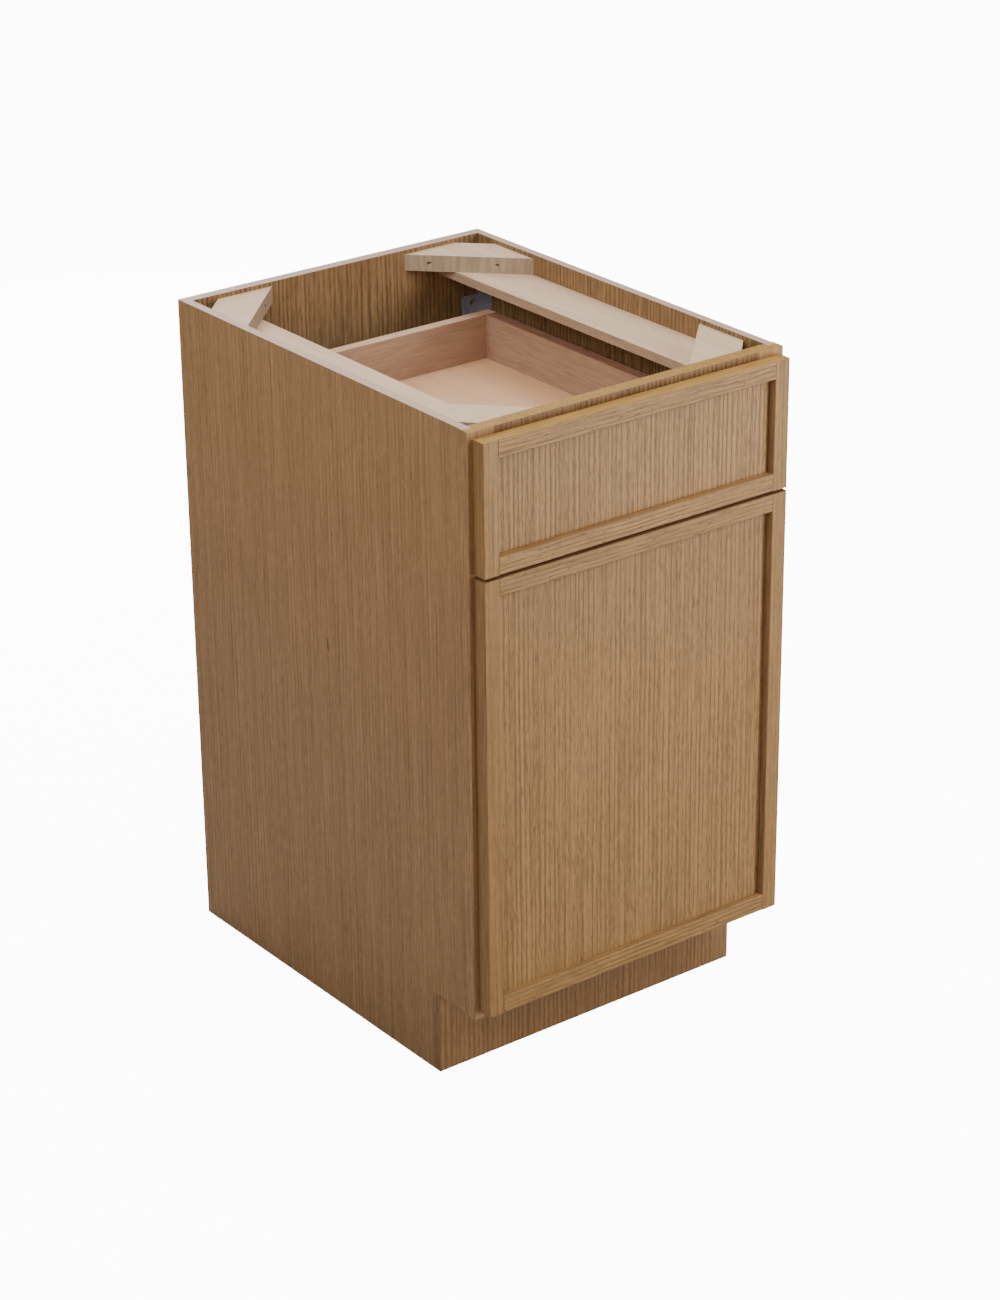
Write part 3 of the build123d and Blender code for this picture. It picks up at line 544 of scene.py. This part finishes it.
# %% [markdown]
# ### Which birch board is cut how
# The grain of the drawer box runs round it. The drawer bottom, the strips and the right corner
# blocks have theirs from front to back, and the left corner blocks from side to side.
# Each row gives the wood, its grain, its show face, its four colours, its place in the log,
# how wide its lines are, and how its edges look: layered as ply, or sawn across the end.

# %% Birch boards
BOX_LINES, STRIP_LINES, BLOCK_LINES, BOTTOM_LINES = 0.003, 0.014, 0.012, 0.022
PALE = (tint(212, 179, 145), tint(225, 197, 166))
BOX_TONES = (tint(160, 129, 104), tint(179, 148, 124), tint(211, 170, 137), tint(228, 193, 165))
RAW_TONES = (*PALE, tint(164, 141, 117), tint(178, 158, 133))
# The drawer sides' edge colours are painted shade: their tops are darkened for the shadow of the strip
# above.
BOX_SIDE_SHADED_TONES = (*BOX_TONES[:2], tint(150, 114, 93), tint(166, 131, 110))
STRIP_TONES = (*PALE, tint(168, 142, 117), tint(179, 154, 129))
BOTTOM_TONES = (tint(223, 175, 131), tint(230, 186, 145), *PALE)

BIRCH_BOARDS = {
    "drawer_side_left": ("birch", "y", "x", BOX_SIDE_SHADED_TONES, (0.0, 0.7, 0.9), BOX_LINES, PLY_LAYERS),
    "drawer_side_right": ("birch", "y", "x", BOX_SIDE_SHADED_TONES, (0.4, 0.7, 0.9), BOX_LINES, PLY_LAYERS),
    "drawer_box_front": ("birch", "x", "y", BOX_TONES, (0.8, 0.7, 0.9), BOX_LINES, PLY_LAYERS),
    "drawer_box_back": ("birch", "x", "y", BOX_TONES, (1.2, 0.7, 0.9), BOX_LINES, PLY_LAYERS),
    "drawer_bottom": ("birch", "y", "z", BOTTOM_TONES, (1.1, 0.2, 0.5), BOTTOM_LINES, PLY_LAYERS),
    "top_strip_left": ("pale ply", "y", "z", STRIP_TONES, (0.3, 0.0, 0.1), STRIP_LINES, PLY_LAYERS),
    "top_strip_right": ("pale ply", "y", "z", STRIP_TONES, (0.3, 0.9, 0.1), STRIP_LINES, PLY_LAYERS),
    "corner_block_front_left": ("pale block", "x", "z", RAW_TONES, (0.0, 0.4, 0.6), BLOCK_LINES, SAWN_END),
    "corner_block_front_right": ("pale block", "y", "z", RAW_TONES, (0.8, 0.4, 0.6), BLOCK_LINES, SAWN_END),
    "corner_block_back_left": ("pale block", "x", "z", RAW_TONES, (1.6, 0.4, 0.6), BLOCK_LINES, SAWN_END),
    "corner_block_back_right": ("pale block", "y", "z", RAW_TONES, (2.4, 0.4, 0.6), BLOCK_LINES, SAWN_END),
}
for node, (kind, *recipe) in BIRCH_BOARDS.items():
    dress(node, birch(f"{kind} {node}", *recipe))
print("birch and pale boards:", len(BIRCH_BOARDS))

# %% [markdown]
# ## Metal and plastic fittings
# The slides, brackets and hinges are pressed steel with a blue-bright zinc coat.
# Zinc isn't a mirror: the coat is slightly cloudy, with faint rolling marks from the sheet.
# The nylon clips are plain grey, with the fine matt skin of a sparked mould.


# %% Zinc, nylon and the clear bumpers
def zinc():
    """Blue-grey zinc plating over rolled sheet steel."""
    coat = Finish("zinc plate", roughness=0.42, metallic=0.6)
    bloom = coat.cloud(coat.place, scale=260.0, detail=3.0, roughness=0.6)
    marks = drawn_out(coat, coat.place, "y", width=1 / 300, length=1 / 14, detail=2.0)
    cloudy = coat.step(bloom, low=0.3, high=0.7)
    coat.colour(coat.blend(cloudy, tint(178, 178, 184), tint(194, 194, 200)))
    coat.polish(bloom, low=0.30, high=0.50)
    coat.relief(marks, depth=0.00003)
    return coat.material


def moulded(name, dark, light, clarity=0.0):
    """Moulded plastic with a fine sparked skin, which lets a share of the light through."""
    skin = Finish(name, roughness=0.5)
    grain = skin.cloud(skin.place, scale=900.0)
    skin.colour(skin.blend(skin.cloud(skin.place, scale=60.0), dark, light))
    skin.relief(grain, depth=0.00006)
    skin.polish(grain, low=0.42, high=0.6)
    skin.shader.inputs["Transmission Weight"].default_value = clarity
    return skin.material


FITTINGS = {
    "zinc_steel": zinc(),
    "grey_nylon": moulded("grey nylon", tint(112, 114, 118), tint(134, 136, 140)),
    "clear_bumper": moulded("clear bumper", tint(222, 226, 228), tint(238, 240, 240), clarity=0.5),
}
print("finishes for fittings:", len(FITTINGS))

# %% [markdown]
# ### Each fitting by its slot
# The frame's record names a material slot for every piece.
# A fitting needs no table of its own here: its slot says which finish it gets.

# %% Dress the fittings
fitted = {entry["node"]: entry["material_slot"] for entry in frame["record"]["subparts"]
          if entry["material_slot"] in FITTINGS}
for node, slot in fitted.items():
    dress(node, FITTINGS[slot])
print("fittings dressed:", len(fitted))

# %% [markdown]
# ## Screws and bumpers, turned as on a lathe
# In the frame each screw is a plain stem with a cone for a head, which is all that the engine needs.
# Up close the eye looks for the domed pan head, the cross that the driver bites in, and the thread.
# A bump pattern could hint at them, but the rim would stay straight against the light.
# So each is turned: a profile is swept round its own axis, and the cross is cut out of it.
# First the frame's own solids are measured, so that the new pieces sit exactly where the old ones did.


# %% Tell the round solids of the frame apart
def solids(node):
    """Splits a node into its separate solids, each a list of corner places."""
    mesh = bmesh.new()
    mesh.from_mesh(boards[node].data)
    bmesh.ops.remove_doubles(mesh, verts=mesh.verts, dist=1e-6)
    mesh.verts.index_update()
    seen, found = set(), []
    for start in mesh.verts:
        if start.index in seen:
            continue
        seen.add(start.index)
        queue, corners = [start], []
        while queue:
            corner = queue.pop()
            corners.append(corner.co.copy())
            for edge in corner.link_edges:
                other = edge.other_vert(corner)
                if other.index not in seen:
                    seen.add(other.index)
                    queue.append(other)
        found.append(corners)
    mesh.free()
    return found


def centre_and_span(corners):
    """The middle and the size of the box round some corners."""
    low = Vector(min(corner[i] for corner in corners) for i in range(3))
    high = Vector(max(corner[i] for corner in corners) for i in range(3))
    return (low + high) / 2, high - low


print("screws in the corner blocks:", len(solids("block_screws")))

# %% [markdown]
# ### Measure a screw
# A screw's axis is the longest side of its box, its seat is the plane of its widest ring,
# and its head is on the side where that ring lies. Four lengths then say the rest.

# %% Measure a screw
SIZES = ("stem", "head", "rise", "length")
BELOW_SEAT = 0.001


def measure_screw(corners):
    """Finds a screw's seat, the way its head faces, and its stem, head and length in metres."""
    centre, span = centre_and_span(corners)
    axis = max(range(3), key=lambda i: span[i])
    line = Vector(1.0 if i == axis else 0.0 for i in range(3))

    def off_axis(corner):
        away = corner - centre
        return (away - line * away.dot(line)).length

    rim = max(corners, key=off_axis)
    outward = line if (rim - centre).dot(line) > 0 else -line
    seat = centre + outward * (rim - centre).dot(outward)
    heights = [(corner - seat).dot(outward) for corner in corners]
    shank = [corner for corner, height in zip(corners, heights) if height < -BELOW_SEAT]
    stem = max(off_axis(corner) for corner in shank)
    return {"seat": seat, "outward": outward, "stem": stem, "head": off_axis(rim),
            "rise": max(heights), "length": -min(heights)}


sample = measure_screw(solids("block_screws")[0])
print("a corner block screw in mm:", {size: round(sample[size] * 1000, 2) for size in SIZES})

# %% [markdown]
# ### The lathe
# A lathe turns a profile into a round solid. So does this: each point of the profile becomes a ring
# of corners, and neighbouring rings are joined by faces. A point on the axis becomes a single corner.


# %% Turn a profile round its axis
def finished(mesh, name):
    """Makes every face look outward, and hands the mesh over to Blender."""
    bmesh.ops.recalc_face_normals(mesh, faces=mesh.faces)
    data = bpy.data.meshes.new(name)
    mesh.to_mesh(data)
    mesh.free()
    return data


def turned_mesh(name, profile, facets=28):
    """Sweeps (radius, height) points round the z axis into one closed mesh."""
    mesh = bmesh.new()
    rings = []
    for radius, height in profile:
        if radius == 0.0:
            rings.append([mesh.verts.new((0.0, 0.0, height))])
            continue
        turns = [2 * math.pi * i / facets for i in range(facets)]
        ring = [(radius * math.cos(turn), radius * math.sin(turn), height) for turn in turns]
        rings.append([mesh.verts.new(corner) for corner in ring])
    for low, high in zip(rings, rings[1:]):
        for i in range(facets):
            j = (i + 1) % facets
            corners = (low[i % len(low)], low[j % len(low)], high[j % len(high)], high[i % len(high)])
            # At a point on the axis the same corner comes twice, and is kept once.
            mesh.faces.new(list(dict.fromkeys(corners)))
    return finished(mesh, name)


print("lathe ready")

# %% [markdown]
# ### The driver's cross
# A punch presses the cross into a real screw's head while it is cold. Here a tapered plus shape
# is taken out of the head, narrower at the bottom so that its walls catch the light.

# %% Cut the cross
CROSS_TAPER = 0.55


def cross_cutter(reach, width, top, bottom):
    """A tapered plus shape, the mark that a cross-head driver leaves."""
    arm, outline = [(width, reach), (-width, reach), (-width, width)], []
    for _ in range(4):
        outline += arm
        arm = [(-y, x) for x, y in arm]
    mesh = bmesh.new()
    floor_ring = [mesh.verts.new((CROSS_TAPER * x, CROSS_TAPER * y, bottom)) for x, y in outline]
    mouth_ring = [mesh.verts.new((x, y, top)) for x, y in outline]
    for i in range(len(outline)):
        j = (i + 1) % len(outline)
        mesh.faces.new((floor_ring[i], floor_ring[j], mouth_ring[j], mouth_ring[i]))
    mesh.faces.new(floor_ring)
    mesh.faces.new(mouth_ring)
    return finished(mesh, "cross cutter")


def cut_out(blank, cutter):
    """The first mesh with the second taken out of it, by a boolean modifier."""
    pair = [bpy.data.objects.new(mesh.name, mesh) for mesh in (blank, cutter)]
    for thing in pair:
        bpy.context.scene.collection.objects.link(thing)
    cut = pair[0].modifiers.new("cut", "BOOLEAN")
    cut.operation = "DIFFERENCE"
    cut.object = pair[1]
    bpy.context.view_layer.update()
    view = bpy.context.evaluated_depsgraph_get()
    result = bpy.data.meshes.new_from_object(pair[0].evaluated_get(view))
    for thing in pair:
        bpy.data.objects.remove(thing)
    return result


print("the cross narrows to", CROSS_TAPER, "of its width")

# %% [markdown]
# ### Profiles of a screw and a bumper
# The screw's profile climbs from the point through the thread's rings to the neck and the pan head.
# A true thread is one spiral. Rings look the same at this size and close without a seam.
# Widths are shares of the stem or the head, and heights are in metres or shares of the head's rise.
# The soft bumpers behind the door and drawer front are low domes with a flat sticky back.

# %% Profiles
THREAD_PITCH = 0.0014
THREAD_ROOT, TIP_WIDTH, NECK_WIDTH = 0.72, 0.45, 0.8
TIP, POINT, NECK = 0.0006, 0.0026, 0.0035
CROSS_REACH, CROSS_WIDTH, CROSS_FLOOR, CROSS_CLEAR = 0.56, 0.13, 0.25, 0.0002
PAN_HEAD = ((0.96, 0.0), (1.0, 0.12), (1.0, 0.34), (0.94, 0.58),
            (0.78, 0.8), (0.5, 0.94), (0.25, 0.99), (0.0, 1.0))
DOME_STEPS, DOME_WALL = 8, 0.2


def screw_mesh(stem, head, rise, length):
    """A pan-head wood screw: point, thread, neck, domed head and cross."""
    profile = [(0.0, -length), (TIP_WIDTH * stem, TIP - length)]
    height = POINT - length
    while height < -NECK:
        profile += [(THREAD_ROOT * stem, height - THREAD_PITCH / 2), (stem, height)]
        height += THREAD_PITCH
    profile += [(THREAD_ROOT * stem, height - THREAD_PITCH / 2), (NECK_WIDTH * stem, 0.0)]
    profile += [(radius * head, up * rise) for radius, up in PAN_HEAD]
    reach, width = CROSS_REACH * head, CROSS_WIDTH * head
    cutter = cross_cutter(reach, width, rise + CROSS_CLEAR, CROSS_FLOOR * rise)
    return cut_out(turned_mesh("screw blank", profile), cutter)


def bumper_mesh(radius, thickness):
    """A low dome with a flat sticky back."""
    angles = [math.pi / 2 * i / DOME_STEPS for i in range(DOME_STEPS)]
    heights = [DOME_WALL + (1 - DOME_WALL) * math.sin(angle) for angle in angles]
    rounds = [(radius * math.cos(angle), thickness * up) for angle, up in zip(angles, heights)]
    return turned_mesh("bumper", [(0.0, 0.0), (radius, 0.0), *rounds, (0.0, thickness)])


threaded = sample["length"] - POINT - NECK
print("a corner block screw has", round(threaded / THREAD_PITCH), "rings of thread")

# %% [markdown]
# ### Set the turned pieces in place
# One piece is made for each node of small fasteners. It takes the node's place in the picture,
# rides on the same moving body, and keeps the same material slot.
# Each screw is spun by a different angle, as no fitter lines the crosses up.


# %% Set the turned pieces in place
SHARP_ABOVE = math.radians(32)
SPIN_STEP = 0.7


def set_out(name, node, slot, places):
    """Joins copies of some meshes into one piece that stands for a node of the frame."""
    joined = bmesh.new()
    for mesh, seat, outward, spin in places:
        turn = outward.to_track_quat("Z", "Y").to_matrix().to_4x4()
        copy = mesh.copy()
        copy.transform(Matrix.Translation(seat) @ turn @ Matrix.Rotation(spin, 4, "Z"))
        joined.from_mesh(copy)
        bpy.data.meshes.remove(copy)
    data = bpy.data.meshes.new(name)
    joined.to_mesh(data)
    joined.free()
    data.polygons.foreach_set("use_smooth", [True] * len(data.polygons))
    data.set_sharp_from_angle(angle=SHARP_ABOVE)
    data.materials.append(FITTINGS[slot])
    piece = bpy.data.objects.new(name, data)
    bpy.context.scene.collection.objects.link(piece)
    bodies = frame["record"]["behaviour"]["bodies"]
    body = next(body for body, nodes in bodies.items() if node in nodes)
    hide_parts(node)
    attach(piece, body)
    print(name, "pieces:", len(places), "faces:", len(data.polygons), "on", body)


for node in ("block_screws", "slide_screws", "hinge_arm_screws", "drawer_front_screws"):
    forms, places = {}, []
    for number, corners in enumerate(solids(node)):
        screw = measure_screw(corners)
        size = tuple(round(screw[part], 5) for part in SIZES)
        if size not in forms:
            forms[size] = screw_mesh(*size)
        places.append((forms[size], screw["seat"], screw["outward"], SPIN_STEP * number))
    set_out(f"cross_head_{node}", node, "zinc_steel", places)

for node in ("door_bumpers", "drawer_bumpers"):
    places = []
    for corners in solids(node):
        centre, span = centre_and_span(corners)
        back = Vector((centre.x, centre.y - span.y / 2, centre.z))
        places.append((bumper_mesh(span.x / 2, span.y), back, Vector((0.0, 1.0, 0.0)), 0.0))
    set_out(f"domed_{node}", node, "clear_bumper", places)

# %% [markdown]
# ## The upper wings of the rear brackets
# A rear bracket is one plate of pressed steel, folded at the corner of the case.
# In the photo its side wing carries on upward behind the strip, set back by a shallow press.
# The frame's bracket ends lower there, so one more piece adds the upper wing to both brackets.
# Each wing is cut as from sheet: a flat outline with a rounded corner, given a thickness.

# %% Upper wings
WING_DEPTH, WING_DROP, WING_RISE = 0.031, 0.0078, 0.0155
WING_THICK, WING_ROUND, ROUND_STEPS = 0.0012, 0.005, 6

wings = bmesh.new()
for node in ("rear_bracket_left", "rear_bracket_right"):
    low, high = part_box(node)
    wall, inward = (low[0], 1) if node.endswith("left") else (high[0], -1)
    front, base = high[1] - WING_DEPTH, high[2] - WING_DROP
    middle = (front + WING_ROUND, base + WING_RISE - WING_ROUND)
    outline = [(high[1], base), (front, base)]
    for i in range(ROUND_STEPS + 1):
        angle = math.pi * (1 - i / ROUND_STEPS / 2)
        over, up = WING_ROUND * math.cos(angle), WING_ROUND * math.sin(angle)
        outline.append((middle[0] + over, middle[1] + up))
    outline.append((high[1], base + WING_RISE))
    sheet_sides = (wall, wall + inward * WING_THICK)
    near, far = ([wings.verts.new((x, y, z)) for y, z in outline] for x in sheet_sides)
    wings.faces.new(near)
    wings.faces.new(far)
    for i in range(len(outline)):
        j = (i + 1) % len(outline)
        wings.faces.new((near[i], near[j], far[j], far[i]))
wing_mesh = finished(wings, "rear_bracket_upper_wings")
wing_mesh.materials.append(FITTINGS["zinc_steel"])
wing_piece = bpy.data.objects.new("rear_bracket_upper_wings", wing_mesh)
bpy.context.scene.collection.objects.link(wing_piece)
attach(wing_piece, "carcass")
print("wings rise to", round((base + WING_RISE) * 1000, 1), "mm above the floor")

# %% [markdown]
# ## The white sweep
# A catalogue shot stands the cabinet on a white sweep that is overexposed until it has no horizon.
# A floor lit that hard would throw its light up at the cabinet and wash out the toe space's shade.
# So the floor glows by itself, and light linking lets it light nothing but itself.

# %% Floor
SWEEP_HALF = 30
SWEEP_GLOW = 12.0
SWEEP_GREYS = (tint(150, 150, 150), tint(156, 156, 156))
floor_mesh = bpy.data.meshes.new("floor")
square = ((-1, -1), (1, -1), (1, 1), (-1, 1))
floor_mesh.from_pydata([(x * SWEEP_HALF, y * SWEEP_HALF, 0) for x, y in square], [], [(0, 1, 2, 3)])
floor = bpy.data.objects.new("floor", floor_mesh)
bpy.context.scene.collection.objects.link(floor)
sweep = Finish("white sweep", roughness=0.9)
sweep.colour(sweep.blend(sweep.cloud(sweep.place, scale=0.4, detail=1.0), *SWEEP_GREYS))
sweep.shader.inputs["Emission Color"].default_value = (1, 1, 1, 1)
sweep.shader.inputs["Emission Strength"].default_value = SWEEP_GLOW
floor_mesh.materials.append(sweep.material)
lit_by_sweep = bpy.data.collections.new("lit by the sweep")
lit_by_sweep.objects.link(floor)
floor.light_linking.receiver_collection = lit_by_sweep
print("sweep:", 2 * SWEEP_HALF, "m wide")

# %% [markdown]
# ## Soft light from several sides
# The photo's shadows are faint and its two visible sides are nearly even, so no single lamp made it.
# Large square lamps stand round the cabinet: the left ones model the side, the right ones the front,
# the one overhead fills the open top, and the two at the back are there for views from behind.
# Each lists its place, the spot it looks at, the side of its square in metres, and its watts.

# %% Light
SKY_STRENGTH = 0.02
LAMPS = {
    "left front": ((-2.2, -1.9, 2.4), (0.0, -0.2, 0.6), 1.4, 29),
    "left near": ((-1.3, 0.3, 1.9), (-0.1, 0.1, 0.7), 0.9, 13),
    "right near": ((1.0, -1.6, 1.6), (0.1, -0.3, 0.7), 0.8, 23),
    "right low": ((1.7, -2.6, 0.35), (0.1, -0.3, 0.5), 0.7, 46),
    "overhead": ((0.0, -0.2, 3.0), (0.0, 0.0, 0.6), 2.2, 42),
    "back": ((0.4, 2.2, 2.8), (0.0, 0.0, 0.8), 1.6, 42),
    "back low": ((0.7, 2.9, 0.9), (0.0, 0.3, 0.5), 1.2, 40),
}

world = bpy.data.worlds.new("studio")
bpy.context.scene.world = world
world.use_nodes = True
sky = world.node_tree.nodes["Background"]
sky.inputs["Color"].default_value = (1.0, 1.0, 1.0, 1.0)
sky.inputs["Strength"].default_value = SKY_STRENGTH

for name, (place, target, size, power) in LAMPS.items():
    lamp = bpy.data.lights.new(name, "AREA")
    lamp.size = size
    lamp.energy = power
    holder = bpy.data.objects.new(name, lamp)
    holder.location = place
    holder.rotation_euler = (Vector(target) - Vector(place)).to_track_quat("-Z", "Y").to_euler()
    bpy.context.scene.collection.objects.link(holder)
print("lamps:", len(LAMPS))

# %% [markdown]
# ## The camera
# The camera was matched to the picture from the cabinet's own corners, to half a pixel.
# It looks down at 24 degrees, from 37 degrees round to the left, through a long lens.
# The three directions below are its right, its up and the way back from the picture.

# %% Camera
LENS_MM = 94.092
SENSOR_MM = 36.0
EYE = (-2.3822, -3.18059, 2.2331)
RIGHT = Vector((0.794429, -0.607288, -0.009149))
UP = Vector((0.256888, 0.322325, 0.911106))
BACK = Vector((-0.550355, -0.72616, 0.41207))
camera = bpy.data.objects.new("camera", bpy.data.cameras.new("camera"))
camera.data.sensor_fit = "VERTICAL"
camera.data.sensor_height = SENSOR_MM
camera.data.lens = LENS_MM
turn = Matrix((RIGHT, UP, BACK)).transposed().to_4x4()
camera.matrix_world = Matrix.Translation(EYE) @ turn
bpy.context.scene.collection.objects.link(camera)
bpy.context.scene.camera = camera
print("camera stands at", EYE)
